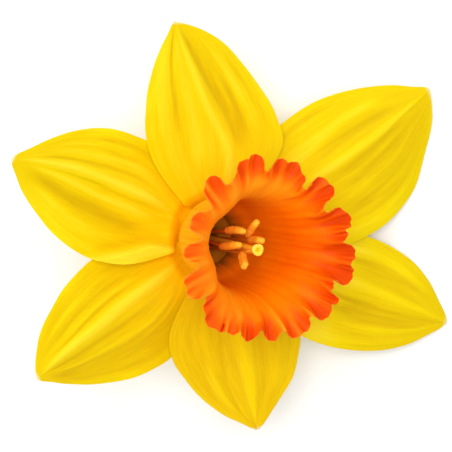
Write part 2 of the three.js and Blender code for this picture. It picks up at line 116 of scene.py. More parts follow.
# Lengthwise folds of each blade: place across it near the base and near the tip (1 left, -1 right margin),
# half width, height in millimetres, tone (1 painted light, -1 painted shade, partly the blade's own streaks),
# and where along the blade it starts and ends
FOLDS = {
    "tepal_top": [
        (-0.48, -0.24, 0.20, 0, -0.45, 0.30, 0.98),
        (0.40, 0.56, 0.05, -0.22, -0.9, 0.40, 1.02),
        (0.62, 0.80, 0.10, 0.12, 0.3, 0.20, 0.95),
        (0.12, 0.34, 0.12, 0.12, 0.35, 0.20, 0.95),
        (-0.30, 0.14, 0.07, 0.30, 0.8, 0.12, 0.98),
        (-0.52, -0.08, 0.07, -0.30, -1.0, 0.30, 0.97),
        (-0.58, -0.38, 0.05, -0.20, -0.7, 0.35, 0.70),
        (-0.72, -0.52, 0.05, 0.15, 0.4, 0.40, 0.90),
        (-0.85, -0.75, 0.07, -0.10, -0.3, 0.30, 0.80),
    ],
    "tepal_upper_right": [
        (-0.52, -0.46, 0.44, 0, -0.45, 0.25, 1.02),
        (0.80, 0.86, 0.06, -0.10, -0.5, 0.20, 0.60),
        (0.28, 0.62, 0.10, 0.15, 0.6, 0.25, 0.80),
        (0.15, 0.22, 0.09, -0.25, -0.7, 0.40, 0.85),
        (-0.10, -0.04, 0.05, 0.28, 0.9, 0.35, 0.98),
        (-0.22, -0.16, 0.04, -0.18, -0.7, 0.45, 0.85),
        (-0.38, -0.34, 0.05, -0.15, -0.6, 0.50, 0.95),
        (-0.50, -0.45, 0.05, 0.12, 0.3, 0.40, 0.90),
        (-0.64, -0.62, 0.04, -0.15, -0.6, 0.45, 0.85),
        (-0.88, -0.85, 0.07, 0.15, 0.5, 0.25, 0.80),
    ],
    "tepal_lower_right": [
        (-0.28, -0.34, 0.20, 0, -0.30, 0.45, 1.02),
        (0.42, 0.42, 0.14, 0, -0.30, 0.45, 0.85),
        (0.78, 0.70, 0.09, 0.15, 0.5, 0.30, 0.90),
        (0.60, 0.52, 0.06, -0.22, -0.7, 0.40, 0.85),
        (0.40, 0.36, 0.05, 0.12, 0.3, 0.40, 0.90),
        (0.18, 0.12, 0.10, 0.30, 0.7, 0.40, 0.98),
        (-0.10, -0.20, 0.04, -0.28, -1.0, 0.40, 0.98),
        (-0.32, -0.38, 0.10, -0.20, -0.7, 0.40, 0.90),
        (-0.62, -0.50, 0.08, 0.25, 0.6, 0.60, 1.00),
        (-0.85, -0.80, 0.08, 0.15, 0.4, 0.40, 0.90),
    ],
    "tepal_bottom": [
        (0.50, 0.45, 0.38, 0, -0.40, 0.30, 1.02),
        (0.85, 0.85, 0.07, -0.12, -0.5, 0.35, 0.90),
        (0.62, 0.60, 0.06, 0.12, 0.2, 0.40, 0.90),
        (0.42, 0.36, 0.06, -0.22, -0.6, 0.40, 0.92),
        (0.12, 0.05, 0.13, 0.30, 0.8, 0.25, 0.98),
        (-0.10, -0.44, 0.05, -0.28, -0.9, 0.35, 0.95),
        (-0.42, -0.60, 0.07, 0.15, 0.3, 0.30, 0.90),
        (-0.62, -0.75, 0.05, -0.12, -0.4, 0.30, 0.80),
    ],
    "tepal_lower_left": [
        (0.70, 0.64, 0.40, 0, -0.60, 0.10, 1.02),
        (-0.65, -0.60, 0.36, 0, -0.30, 0.20, 1.00),
        (0.84, 0.80, 0.06, -0.10, -0.3, 0.25, 0.90),
        (0.66, 0.62, 0.09, -0.20, -0.7, 0.20, 0.92),
        (0.50, 0.50, 0.03, -0.20, -0.8, 0.15, 0.90),
        (0.42, 0.42, 0.04, 0.15, 0.6, 0.20, 0.88),
        (0.26, 0.22, 0.05, -0.20, -0.7, 0.20, 0.98),
        (0.00, -0.02, 0.10, 0.30, 1.0, 0.08, 0.98),
        (-0.20, -0.18, 0.03, -0.18, -0.8, 0.30, 0.88),
        (-0.30, -0.28, 0.03, 0.10, 0.5, 0.30, 0.85),
        (-0.42, -0.40, 0.05, -0.12, -0.5, 0.30, 0.85),
        (-0.62, -0.60, 0.05, 0.12, 0.3, 0.40, 0.90),
    ],
    "tepal_upper_left": [
        (0.45, 0.42, 0.20, 0, -0.35, 0.15, 0.95),
        (0.66, 0.62, 0.05, 0.10, 0.3, 0.30, 0.90),
        (0.44, 0.36, 0.11, -0.20, -0.7, 0.20, 0.88),
        (0.20, 0.14, 0.05, 0.18, 0.6, 0.20, 0.90),
        (0.06, 0.02, 0.02, -0.12, -0.7, 0.15, 0.80),
        (-0.10, -0.12, 0.07, 0.30, 1.0, 0.15, 0.98),
        (-0.32, -0.28, 0.04, -0.18, -0.7, 0.25, 0.90),
        (-0.48, -0.46, 0.05, 0.12, 0.4, 0.30, 0.85),
        (-0.60, -0.56, 0.04, -0.12, -0.4, 0.30, 0.80),
        (-0.80, -0.76, 0.05, -0.15, -0.6, 0.25, 0.65),
    ],
}
# Painted light (1) or painted shade (-1) over each whole blade, for how the light falls on it
BLADE_PAINTED_SHADE = {
    "tepal_top": 0.0,
    "tepal_upper_right": -0.35,
    "tepal_lower_right": -0.6,
    "tepal_bottom": -1.0,
    "tepal_lower_left": -0.1,
    "tepal_upper_left": 0.0,
}
# Painted light added near the cup, where the frill overhangs a petal, against the shade that it casts there
OVERHUNG_PAINTED_LIGHT = {"tepal_upper_right": 0.35, "tepal_lower_right": 1.2}
INNER_SHARE = 0.016

# The curled lip: its crease's place across the blade, its slant, and its bend below a share of the length
LIPPED_PETAL = "tepal_upper_left"
LIP_PLACE = 0.6
LIP_SLANT = 1.42
LIP_BEND = 20
LIP_BEND_SHARE = 0.165
LIP_WIDTH = 0.13
LIP_HEIGHT = 2.0
# Painted light on the upturned lip, and painted shadow just above its crease
LIP_PAINTED_LIGHT = 1.5
LIP_SHADOW = 0.55
LIP_SHADOW_OFFSET = 0.07
LIP_SHADOW_WIDTH = 0.09

# Corona, in millimetres: radius and height of the middle of its wall, from seat to rim
CORONA_PROFILE = [
    (5.65, -4.2), (7.0, -0.8), (8.3, 2.2), (8.8, 7.0), (9.2, 12.0),
    (10.1, 16.5), (11.9, 20.4), (14.4, 23.2), (17.3, 24.9),
]
CORONA_LEAN = (0.9, -0.5)
LEAN_HEIGHT = 25
LEAN_POWER = 1.5
# Where the wall is pressed inwards: azimuth in degrees, half width in radians, depth in millimetres
PINCHES = [(139, 0.36, 1.3), (208, 0.3, 1.2)]
# Painted light inside the cup, on bands of wall that lie in shade: azimuth and half width in radians,
# strength, and where up the wall each is seen
PAINTED_LIGHT_BANDS = [(1.75, 0.65, 0.95, (0.15, 0.4), (0.8, 0.95)), (4.05, 0.35, 0.8, (0.12, 0.3), (0.6, 0.8))]
# Where the frill is painted deeper: its own deeper red at the top, and painted shade in the pockets of its
# bottom lobes. Azimuth and half width in radians, and how much
DEEP_FRILL_AND_POCKET_SHADE = [(1.6, 0.6, 0.45), (4.05, 0.15, 0.8), (4.45, 0.06, 0.9), (4.66, 0.07, 0.9)]
# The frill's edge, traced on the photograph anticlockwise from its right: pixels, and fold (-1 in a pocket, 1
# on a ridge)
FRILL = [
    (350.8, 264.5, 0.5), (354.5, 258.5, -0.3), (355.5, 252.5, -0.6), (353, 247, -0.5), (348.5, 244.3, -0.3),
    (343, 242, 0.5), (346.8, 238, -0.2), (347.6, 234, -0.4), (345, 229.8, 0.5), (349.5, 227.5, -0.1),
    (351.2, 221, -0.6), (349.3, 214.8, -0.5), (345.8, 211.8, 0), (342, 208.3, -0.4), (336.5, 208, -0.4),
    (331.5, 211, 0.2), (327.5, 212.3, 0.6), (324, 209.5, 0.6), (325, 204, 0.3), (329.5, 199.8, 0),
    (333.3, 195.5, -0.4), (334.3, 190, -0.6), (332, 185, -0.4), (328.8, 183.2, 0), (325.5, 179.5, -0.4),
    (319.5, 177, -0.6), (315, 179.5, -0.4), (310, 186.3, 0.2), (305.5, 189.5, 0.6), (302.3, 187, 0.5),
    (305, 181, -0.3), (305.3, 177, -0.4), (302, 173, 0.1), (301, 168, -0.3), (298, 163.5, -0.6),
    (293, 161.8, -0.5), (286.8, 161.8, 0), (283, 158.8, -0.5), (278, 159.2, -0.6), (274, 164, -0.3),
    (271, 168.5, 0.2), (267.5, 171.8, 0.6), (264.8, 170, 0.4), (264.3, 163, -0.2), (262, 157, -0.5),
    (257, 154, -0.7), (252, 155.3, -0.6), (249, 159, 0.2), (245, 159.5, -0.7), (240, 162, -0.8),
    (237.3, 167.5, -0.4), (236.3, 174, 0), (233.5, 179.5, 0.2), (229.5, 184, 0.5), (224.5, 184, 0.3),
    (221.5, 179.5, -0.3), (217.5, 176.3, -0.6), (211.5, 176, -0.8), (206.8, 180, -0.5), (205, 186.3, 0),
    (204.3, 192, -0.8), (207, 198.3, -0.3), (211.3, 203.5, 0.2), (211, 209, 0.5), (206, 212, 0.2),
    (200, 212, -0.4), (194.5, 215, -0.5), (190.5, 222, -0.6), (190.3, 229, -0.4), (195, 232.5, 0.1),
    (200.5, 235, 0.6), (200.5, 240.5, 0.5), (195, 243.2, -0.1), (188, 245.3, -0.5), (184, 250.5, -0.6),
    (184.5, 256.5, -0.6), (190, 261, -0.2), (197, 263, 0.4), (198, 269, 0.6), (192.5, 273.3, -0.1),
    (186, 277, -0.5), (184, 282.5, -0.6), (187.3, 288.8, 0), (187, 294, -0.4), (191.5, 298.3, -0.5),
    (199.5, 299, -0.1), (207, 294.5, 0.8), (205.5, 300, -0.6), (203.3, 307.5, -0.9), (205.8, 315, 0),
    (205.3, 320.5, -0.5), (209, 326.8, -0.5), (215.5, 329.3, 0), (221.5, 332, -0.8), (225.5, 331.3, 0.4),
    (229.5, 334, -0.5), (235, 334.5, -0.5), (239.8, 331.3, 0.7), (243.3, 338, -0.4), (248.5, 341.3, -1),
    (253.5, 339, -0.4), (261.5, 331, 0.5), (265.3, 337, -0.7), (270, 341.2, -0.9), (275, 340.8, -0.6),
    (279.3, 334.5, -0.1), (284.5, 331, 0.8), (289, 336.2, -0.4), (294.5, 338.3, -0.6), (302, 334, 0),
    (307.5, 331, -0.5), (310.3, 325, -0.5), (309.7, 318.5, 0.1), (312, 315.3, 0.6), (316.5, 317.8, -0.1),
    (322, 320, -0.6), (328.5, 316.8, -0.5), (331.3, 310, -0.3), (332, 305.5, 0.3), (336.5, 304, -0.2),
    (338.8, 300.8, -0.5), (336, 296, -0.1), (331.3, 291, 0.5), (333.8, 285.5, -0.4), (333.3, 281.3, 0.4),
    (336.5, 280.5, 0.5), (340, 283.8, -0.2), (345, 285, -0.6), (350, 281.5, -0.5), (353.2, 274, -0.6),
    (352.5, 268, -0.3),
]
ROUNDNESS = 1.15
HEAD_DROP = 1.5
RIDGE_RISE = 1.0
CRIMP = 0.11
NOTCH_RISE = 0.4
WALL = 0.5
RIM_EDGE = 0.16
RIM_RADIUS = 17.9
CORONA_ROWS = 62
ROW_CROWDING = 1.4
ROUND_STEPS = 760
# Points between two knots of the frill, and how often its heights and radii are worked out from each other
FRILL_POINTS_PER_KNOT = 16
FRILL_ROUNDS = 4
FLUTE_DEPTH = 0.04
# Share of the wall from which the lobes, the beads on them and the edge take shape, and how steeply
LOBES_FROM = (0.45, 1.3)
BEADS_FROM = (0.66, 1.4)
EDGE_FROM = (0.84, 1.3)
# Over how many steps round the rim the edge is evened out for the lobes, the beads and the turn
LOBE_SPREAD = 24
BEAD_SPREAD = 6
TURN_SPREAD = 30

# Tube, ovary and stalk: the middle line, then the share of its length and the radius there
STALK_PATH = [
    (0, 0, -3.5), (0, 0, -8.0), (0, 0, -14.0), (-0.2, -0.1, -19.0),
    (-1.6, -0.6, -24.0), (-5.0, -1.6, -28.2), (-10.5, -3.1, -30.4),
]
STALK_RADII = [
    (0, 6.6), (0.09, 4.2), (0.22, 2.9), (0.38, 2.7), (0.48, 3.3),
    (0.6, 3.9), (0.7, 3.1), (0.78, 2.1), (1, 1.9),
]
TUBE_ROWS = 110
TUBE_STEPS = 72
TUBE_WALL = 0.8
HOLLOW_ROWS = 44
CUT_END_PLACE = 1.04
# The ovary's six ribs and the skin's fine ones, as shares of the radius
OVARY_RIBS = 0.035
SKIN_RIBS = 0.012
PATH_POINTS_PER_KNOT = 60
# The tube's flare under the petals: order of its rings, their radius, and height above the tube's top
FLARE = [(0, 6.25, 0.3), (1, 7.15, 0.55), (2, 7.3, 0.35), (3, 6.95, 0.1)]

# Stamens: azimuth, foot and head of the anther, and its roll in radians. Feet and heads were set by hand,
# within 0.6 mm of where another program put places picked by eye on the photograph
STAMENS = [
    (125, (-1.9, 2.0, 9.5), (-2.0, 2.4, 17.0), 0),
    (200, (-2.1, -1.2, 8.5), (-2.1, -0.2, 16.4), 0),
    (65, (1.1, 1.8, 12.5), (0.4, 4.6, 17.0), 0.9),
    (265, (0.6, -1.8, 12.0), (0.2, -4.4, 15.2), 1.4),
    (10, (2.2, 0.9, 11.5), (1.6, 1.1, 17.8), 0),
    (320, (1.8, -0.9, 9.0), (0.9, -0.8, 15.6), 0),
]
# Filaments: distance from the axis and height of foot and middle, and radius at the foot and the head
FILAMENT_FOOT = (1.35, -9.0)
FILAMENT_MIDDLE = (1.75, 1.0)
FILAMENT_RADII = (0.42, 0.28)
# Points along and round a filament, an anther, the style and the stigma
FILAMENT_MESH = (40, 14)
ANTHER_MESH = (46, 36)
STYLE_MESH = (120, 18)
STIGMA_MESH = (31, 54)
ANTHER_BULGE = 0.35
SAC_RADIUS = 0.72
SAC_BULGE = 0.2
SLIT_DEPTH = 0.22
SEAM_DEPTH = 0.06
STYLE_RADII = (0.55, 0.45)
STYLE_HIDDEN_POINTS = 3
STIGMA_SINK = 1.1
# Height over the stigma's foot and radius, up its side and down into its dimple
STIGMA_OUTLINE = [
    (0.0, 0.42), (0.25, 0.62), (0.5, 0.95), (0.75, 1.12), (1.0, 1.16), (1.2, 1.1),
    (1.34, 0.92), (1.36, 0.7), (1.26, 0.48), (1.1, 0.3), (1.02, 0.12),
]
STIGMA_LOBES = 0.05
STIGMA_RIPPLE = 0.025
GRAIN_RADIUS = 0.06
POLLEN_PER_SQUARE_MM = 16.0
PAPILLAE_PER_SQUARE_MM = 20.0
PAPILLAE_SEED = 40
PISTIL_PATH = [(0, 0, -13.0), (0, 0, 0), (-0.3, -0.3, 12.0), (-1.0, -0.7, 22.0)]

# How deep red, green and blue light go into plant tissue, as shares of its depth
LIGHT_DEPTHS = (1, 0.7, 0.1)

# Camera: the photograph's view of the flower's axis
AXIS_LEAN_DEG = 26.0
AXIS_ROLL_DEG = 8.5
CAMERA_DISTANCE = 500.0
PIXELS_PER_MM = 5.0
FRAME_PIXELS = 452
BASE_PIXEL = (214.0, 239.0)
SENSOR_WIDTH = 36.0

# Studio: half the floor's side, how far it lies under the flower, and the surroundings' strength
FLOOR_HALF = 4
FLOOR_DROP = 0.0001
SURROUNDINGS = 0.65
# Lamps: name, direction along the view's back, up and right, distance and width in metres, and watts
LAMPS = [
    ("upper left lamp", (1, 0.6, -0.8), 1.2, 0.6, 3.0),
    ("lamp beside the lens", (1, 0.05, -0.05), 1.4, 0.8, 12.5),
]


def smooth_step(a, b, x):
    """0 up to a, 1 from b on, and a soft rise between them."""
    q = np.clip((np.asarray(x, float) - a) / (b - a), 0, 1)
    return q * q * (3 - 2 * q)


def band(x, rise, fall):
    """1 between two soft ends: it rises over the first pair of places and falls over the second."""
    return smooth_step(*rise, x) * (1 - smooth_step(*fall, x))


def hump(x, width):
    """A soft hump, 1 where x is 0."""
    return np.exp(-((x / width) ** 2))


def hermite(start, end, leave, arrive, w):
    """The smooth way from start to end at share w, with its slopes where it leaves and arrives."""
    first = (2 * w**3 - 3 * w**2 + 1) * start + (w**3 - 2 * w**2 + w) * leave
    return first + (3 * w**2 - 2 * w**3) * end + (w**3 - w**2) * arrive


def round_angles(steps):
    """Even angles round a ring."""
    return np.arange(steps) / steps * 2 * np.pi


def resting_turn():
    """Flower frame to the resting place, in millimetres."""
    turn = Matrix.Rotation(math.radians(REST_TILT_DEG), 4, "Y")
    turn = turn @ Matrix.Rotation(-math.radians(REST_HEADING_DEG), 4, "Z")
    return Matrix.Translation((REST_SHIFT[0], REST_SHIFT[1], REST_LIFT)) @ turn


LAID = np.array(resting_turn())


def laid_down(points):
    """Flower frame in millimetres to the resting place in metres."""
    return (np.asarray(points) @ LAID[:3, :3].T + LAID[:3, 3]) * MM


def linear(hex_colour):
    """sRGB hex to a linear colour with alpha 1."""
    values = [int(hex_colour[i : i + 2], 16) / 255 for i in (1, 3, 5)]
    lin = [v / 12.92 if v <= 0.04045 else ((v + 0.055) / 1.055) ** 2.4 for v in values]
    return (*lin, 1.0)


# Meshes


def mesh_from(name, points, faces, corner_uv=None, face_slot=None):
    """A smooth mesh from laid-down points, none below the floor. corner_uv has (u, v) per face corner."""
    mesh = bpy.data.meshes.new(name)
    floor_kept = np.array(points)
    floor_kept[:, 2] = np.maximum(floor_kept[:, 2], 0.0)
    mesh.from_pydata(floor_kept.tolist(), [], faces)
    if corner_uv is not None:
        layer = mesh.uv_layers.new(name="blade")
        layer.data.foreach_set("uv", np.asarray(corner_uv, np.float32).ravel())
    if face_slot is not None:
        mesh.polygons.foreach_set("material_index", face_slot)
    mesh.polygons.foreach_set("use_smooth", [True] * len(mesh.polygons))
    mesh.validate()
    mesh.update()
    obj = bpy.data.objects.new(name, mesh)
    bpy.context.scene.collection.objects.link(obj)
    return obj


def add_tone_and_painted_shading(obj, values):
    """Keeps one number for each point, mostly painted light and shade, which the material turns into lighter
    or deeper colour.
    """
    layer = obj.data.attributes.new("tone", "FLOAT", "POINT")
    layer.data.foreach_set("value", np.asarray(values, np.float32))


def grid_quads(rows, cols, start, flipped, wrap=False):
    """Corner lists of a grid of (rows + 1) lines with cols squares each."""
    width = cols if wrap else cols + 1
    i, j = np.meshgrid(np.arange(rows), np.arange(cols), indexing="ij")
    k = (j + 1) % width if wrap else j + 1
    a, b, c, d = i * width + j, (i + 1) * width + j, (i + 1) * width + k, i * width + k
    order = (a, d, c, b) if flipped else (a, b, c, d)
    return (np.stack(order, -1).reshape(-1, 4) + start).tolist()


# Petals


def curve_at(places, values, x):
    """A smooth curve through values given at rising places."""
    places, values = np.array(places, float), np.array(values, float)
    slopes = np.empty_like(values)
    slopes[1:-1] = (values[2:] - values[:-2]) / (places[2:] - places[:-2])
    slopes[0], slopes[-1] = np.diff(values)[[0, -1]] / np.diff(places)[[0, -1]]
    k = np.clip(np.searchsorted(places, x, side="left") - 1, 0, len(places) - 2)
    span = places[k + 1] - places[k]
    w = (x - places[k]) / span
    return hermite(values[k], values[k + 1], span * slopes[k], span * slopes[k + 1], w)


def petal_half_width(length, side, s):
    """Width of one side of a blade, with its rounded tip and the claw that it narrows to."""
    rounding = TIP_NUB * (1 - np.sqrt(np.maximum(1 - s**60, 0)))
    blade = np.maximum(curve_at(WIDTH_SHARES, side[1], s) - rounding, 1e-6)
    claw = CLAW_HALF_WIDTH + length * s * (1 + CLAW_SPREAD * s)
    return np.maximum((blade**-4 + claw**-4) ** -0.25, TIP_HALF_WIDTH)


def fold_shapes(name, s, t):
    """Each fold's share (0 to 1) at every point, with its height and its tone: painted light or shade, partly
    the blade's own streaks.
    """
    for near, far, width, height, tone, first, last in FOLDS[name]:
        centre = near + (far - near) * (s - FOLD_NEAR) / (FOLD_FAR - FOLD_NEAR)
        centre = centre + FOLD_SWAY * np.sin(13 * s + 40 * near)
        length = band(s, (first - 0.08, first + 0.12), (last - 0.12, last + 0.03))
        yield np.exp(-(np.abs((t - centre) / width) ** FOLD_SQUARENESS)) * length, height, tone


def lip_crease(s):
    """Where across the blade the lip starts to turn up."""
    bend = LIP_BEND * np.maximum(LIP_BEND_SHARE - s, 0) ** 2
    return LIP_PLACE + LIP_SLANT * np.maximum(s - LIP_BEND_SHARE, 0) + bend


def curled_lip(name, s, t):
    """The upturned lower margin of the upper left petal, 0 to 1."""
    if name != LIPPED_PETAL:
        return 0 * s
    crease = lip_crease(s)
    return smooth_step(crease, crease + LIP_WIDTH, t) * band(s, (0.02, 0.09), (0.36, 0.5))


def lip_painted_light_and_shadow(name, s, t):
    """Painted light along the lip from its crease, where it turns up to the light, plain again towards its
    lower end, and painted shadow just above the crease.
    """
    crease = lip_crease(s)
    fading = 0.8 * smooth_step(crease + 0.1, 1.02, t) * (1 - smooth_step(0.14, 0.28, s))
    above = hump(t - crease + LIP_SHADOW_OFFSET, LIP_SHADOW_WIDTH) * (name == LIPPED_PETAL)
    above = above * band(s, (0.06, 0.14), (0.34, 0.42))
    return LIP_PAINTED_LIGHT * curled_lip(name, s, t) * (1 - fading) - LIP_SHADOW * above


def petal_relief(name, s, t):
    """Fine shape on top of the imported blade: lengthwise folds, veins, a crimped margin and a curled lip."""
    seed = sum(map(ord, name)) % 17
    narrowing = 1 - 0.5 * smooth_step(0.65, 0.9, s)
    folds = narrowing * sum(share * height for share, height, _ in fold_shapes(name, s, t))
    veins = VEIN_HEIGHT * np.sin(52 * t * (1 - 0.2 * s) + seed + 2 * np.sin(5 * s))
    veins = veins * smooth_step(0.05, 0.25, s) * (1 - s**4)
    crimp = smooth_step(0.82, 1, np.abs(t)) * np.sin(29 * s + 2.1 * seed + 3 * t)
    crimp = crimp * smooth_step(0.3, 0.5, s) * (1 - s**6)
    return folds + veins + MARGIN_CRIMP * crimp + LIP_HEIGHT * curled_lip(name, s, t)


def petal_streaks_and_painted_shading(name, s, t):
    """Painted light (up to 1) and painted shade (down to -1) at each point: on the folds, the whole blade,
    the base under the frill and the lip, partly the blade's own streaks.
    """
    folds = sum(share * tone for share, _, tone in fold_shapes(name, s, t))
    overhung = OVERHUNG_PAINTED_LIGHT.get(name, 0) * (1 - smooth_step(0.42, 0.66, s))
    return np.clip(folds + BLADE_PAINTED_SHADE[name] + overhung + lip_painted_light_and_shadow(name, s, t), -1, 1)


def petal_point(name, s, t):
    """The blade's upper face at share s of its length and t across it (1 left margin, -1 right margin)."""
    azimuth, length, bow, lift, left, right = PETALS[name]
    run, s, t = np.asarray(s, float), np.maximum(s, 0.0), np.asarray(t, float)
    is_left = t >= 0
    half = np.where(is_left, petal_half_width(length, left, s), petal_half_width(length, right, s))
    across = bow * s * s + half * t
    sag = PETAL_START_RADIUS - np.sqrt(PETAL_START_RADIUS**2 - np.minimum(across**2, 40))
    along = PETAL_START_RADIUS + length * run - (1 - s) ** 8 * sag
    a = math.radians(azimuth)
    x = along * math.cos(a) - across * math.sin(a)
    y = along * math.sin(a) + across * math.cos(a)
    radius, side = np.hypot(x, y), np.abs(t)
    overlap = band(radius, LAP_RISE, LAP_FALL)
    seat = SEAT_Z + SEAT_RISE * smooth_step(*SEAT_RISE_OVER, radius)
    over = np.where(is_left, left[0], right[0])
    laid = OVERLAP_LIFT * over * overlap * (0.35 + 0.65 * smooth_step(0, 0.7, side))
    ridge = RIDGE_DROP * smooth_step(0.42, 0.85, s) * side**1.4 * (1 - s**3)
    midrib = MIDRIB_HEIGHT * hump(t, 0.16) * smooth_step(0.1, 0.3, s) * (1 - s * s)
    wave = EDGE_WAVE * side**4 * np.sin(15 * s + azimuth + 2 * t) * smooth_step(0.5, 0.7, s) * (1 - s)
    z = seat + lift * s**1.5 + laid - ridge + midrib + wave + petal_relief(name, s, t)
    return np.stack([x, y, z], -1)


def petal_normal(name, s, t):
    """Which way the upper face looks, from close neighbours of each point."""
    e = 0.004
    ds = petal_point(name, np.minimum(s + e, 1), t) - petal_point(name, s - e, t)
    dt = petal_point(name, s, np.minimum(t + e, 1)) - petal_point(name, s, np.maximum(t - e, -1))
    n = np.cross(ds, dt)
    n /= np.linalg.norm(n, axis=-1, keepdims=True)
    return np.where(n[..., 2:] < 0, -n, n)


def make_petal(name, material):
    """A closed blade, thick at the midrib and thin at the margin. Its UV runs across (u) and along (v)."""
    s = np.linspace(-INNER_SHARE, 1, PETAL_ROWS + 1)
    places = np.linspace(-0.5, 0.5, PETAL_COLUMNS + 1)
    t = np.sin(places * np.pi * COLUMN_CROWDING) / math.sin(COLUMN_CROWDING / 2 * math.pi)
    s, t = np.meshgrid(s, t, indexing="ij")
    front = petal_point(name, s, t)
    depth = BLADE_EDGE + (BLADE_MIDDLE - BLADE_EDGE) * (1 - np.abs(t) ** 3) * (1 - 0.5 * s**3)
    back = front - petal_normal(name, s, t) * depth[..., None]
    points = np.concatenate([front.reshape(-1, 3), back.reshape(-1, 3)])
    sheet = s.size
    faces = grid_quads(PETAL_ROWS, PETAL_COLUMNS, 0, False)
    faces += grid_quads(PETAL_ROWS, PETAL_COLUMNS, sheet, True)
    width = PETAL_COLUMNS + 1
    margin = list(range(PETAL_COLUMNS)) + [i * width + PETAL_COLUMNS for i in range(PETAL_ROWS)]
    margin += [PETAL_ROWS * width + j for j in range(PETAL_COLUMNS, 0, -1)]
    margin += [i * width for i in range(PETAL_ROWS, 0, -1)]
    faces += [[a, b, b + sheet, a + sheet] for a, b in zip(margin, margin[1:] + margin[:1])]
    uv = np.stack([(t + 1) / 2, s], -1).reshape(-1, 2)
    corners = np.array(faces).ravel() % sheet
    petal = mesh_from(name + "_look", laid_down(points), faces, uv[corners])
    tone = petal_streaks_and_painted_shading(name, s, t).ravel()
    add_tone_and_painted_shading(petal, np.concatenate([tone, tone]))
    petal.data.materials.append(material)
    return petal


# Corona


def spline_through(points, q):
    """Uniform Catmull-Rom through 2D points, q from 0 to 1."""
    pts = np.array(points, float)
    last = len(pts) - 1
    p = np.clip(q, 0, 1) * last
    i = np.minimum(np.floor(p).astype(int), last - 1)
    w = (p - i)[..., None]
    p0, p1 = pts[np.maximum(i - 1, 0)], pts[i]
    p2, p3 = pts[i + 1], pts[np.minimum(i + 2, last)]
    return hermite(p1, p2, (p2 - p0) / 2, (p3 - p1) / 2, w)


def evened(values, spread):
    """Smooths values that go round in a circle; spread is in steps."""
    waves = np.fft.rfftfreq(len(values)) * 2 * np.pi
    return np.fft.irfft(np.fft.rfft(values) * np.exp(-0.5 * (waves * spread) ** 2), len(values))


def view_axes():
    """Right, up and back of the photograph's view, in the flower frame."""
    lean, roll = math.radians(AXIS_LEAN_DEG), math.radians(AXIS_ROLL_DEG)
    u = Vector((math.cos(lean), 0, math.sin(lean)))
    v = Vector((0, 1, 0))
    right = u * math.cos(roll) + v * math.sin(roll)
    up = -u * math.sin(roll) + v * math.cos(roll)
    return right, up, Vector((-math.sin(lean), 0, math.cos(lean)))


def view_target():
    """The point of the flower frame that the camera looks at."""
    right, up, _ = view_axes()
    middle = FRAME_PIXELS / 2
    return (right * (middle - BASE_PIXEL[0]) + up * (BASE_PIXEL[1] - middle)) / PIXELS_PER_MM


def seen_at(px, py, height):
    """Where the sight lines through the photograph's pixels reach a height in the flower frame."""
    right, up, back = (np.array(axis) for axis in view_axes())
    eye = np.array(view_target()) + back * CAMERA_DISTANCE
    focal = CAMERA_DISTANCE * PIXELS_PER_MM
    sight = np.outer(px - FRAME_PIXELS / 2, right) - np.outer(py - FRAME_PIXELS / 2, up) - focal * back
    return eye + sight * ((height - eye[2]) / sight[:, 2])[:, None]


def fold_height(fold):
    """How far a pocket of the frill drops, or a ridge of it rises."""
    return np.where(fold < 0, HEAD_DROP, RIDGE_RISE) * fold


def lean_at(height):
    """Share of the cup's lean that it has reached at a height."""
    return (np.maximum(height, 0) / LEAN_HEIGHT) ** LEAN_POWER


def frill_edge():
    """The frill's edge in even steps: azimuth ahead of an even turn, radius, and fold."""
    px, py, fold = np.array(FRILL, float).T
    radius = np.full(len(px), RIM_RADIUS)
    for _ in range(FRILL_ROUNDS):
        rim = CORONA_PROFILE[-1][1] + NOTCH_RISE * (RIM_RADIUS - radius) + fold_height(fold)
        knots = seen_at(px, py, rim)[:, :2] - np.outer(lean_at(rim), CORONA_LEAN)
        radius = np.hypot(knots[:, 0], knots[:, 1])
    reach = np.linalg.norm(np.roll(knots, -1, axis=0) - knots, axis=1)
    before = np.roll(reach, 1)[:, None]
    after = reach[:, None]
    ahead = (np.roll(knots, -1, axis=0) - knots) / after
    behind = (knots - np.roll(knots, 1, axis=0)) / before
    way = (ahead * before + behind * after) / (before + after)
    fine = []
    for i in range(len(knots)):
        j = (i + 1) % len(knots)
        w = np.linspace(0, 1, FRILL_POINTS_PER_KNOT, endpoint=False)[:, None]
        speed = reach[i] * ROUNDNESS
        place = hermite(knots[i], knots[j], way[i] * speed, way[j] * speed, w)
        depth = fold[i] + (fold[j] - fold[i]) * smooth_step(0, 1, w)
        fine.append(np.hstack([place, depth]))
    fine = np.vstack(fine + [fine[0][:1]])
    run = np.concatenate([[0], np.cumsum(np.linalg.norm(np.diff(fine[:, :2], axis=0), axis=1))])
    even = np.arange(ROUND_STEPS) * run[-1] / ROUND_STEPS
    x, y, fold = (np.interp(even, run, fine[:, k]) for k in range(3))
    turn = np.unwrap(np.arctan2(y, x)) - round_angles(ROUND_STEPS)
    return turn, np.hypot(x, y), fold


def cup_side_tone_and_painted_shading(a, u):
    """Deeper on the cup's right side and lighter on its left, with painted light bands on walls in shade, its
    deeper red frill and painted shade in the pockets of its bottom lobes.
    """
    round_turn = np.mod(a, 2 * np.pi)
    side = np.cos(a - 0.12)
    sides = 0.1 - np.where(side > 0, 0.75 * side * side, 0.45 * side)
    tone = sides * smooth_step(0.35, 0.6, u)
    for azimuth, width, light, rise, fall in PAINTED_LIGHT_BANDS:
        tone = tone + light * hump(round_turn - azimuth, width) * band(u, rise, fall)
    frill = sum(depth * hump(round_turn - azimuth, width) for azimuth, width, depth in DEEP_FRILL_AND_POCKET_SHADE)
    return tone - frill * smooth_step(0.86, 0.96, u)


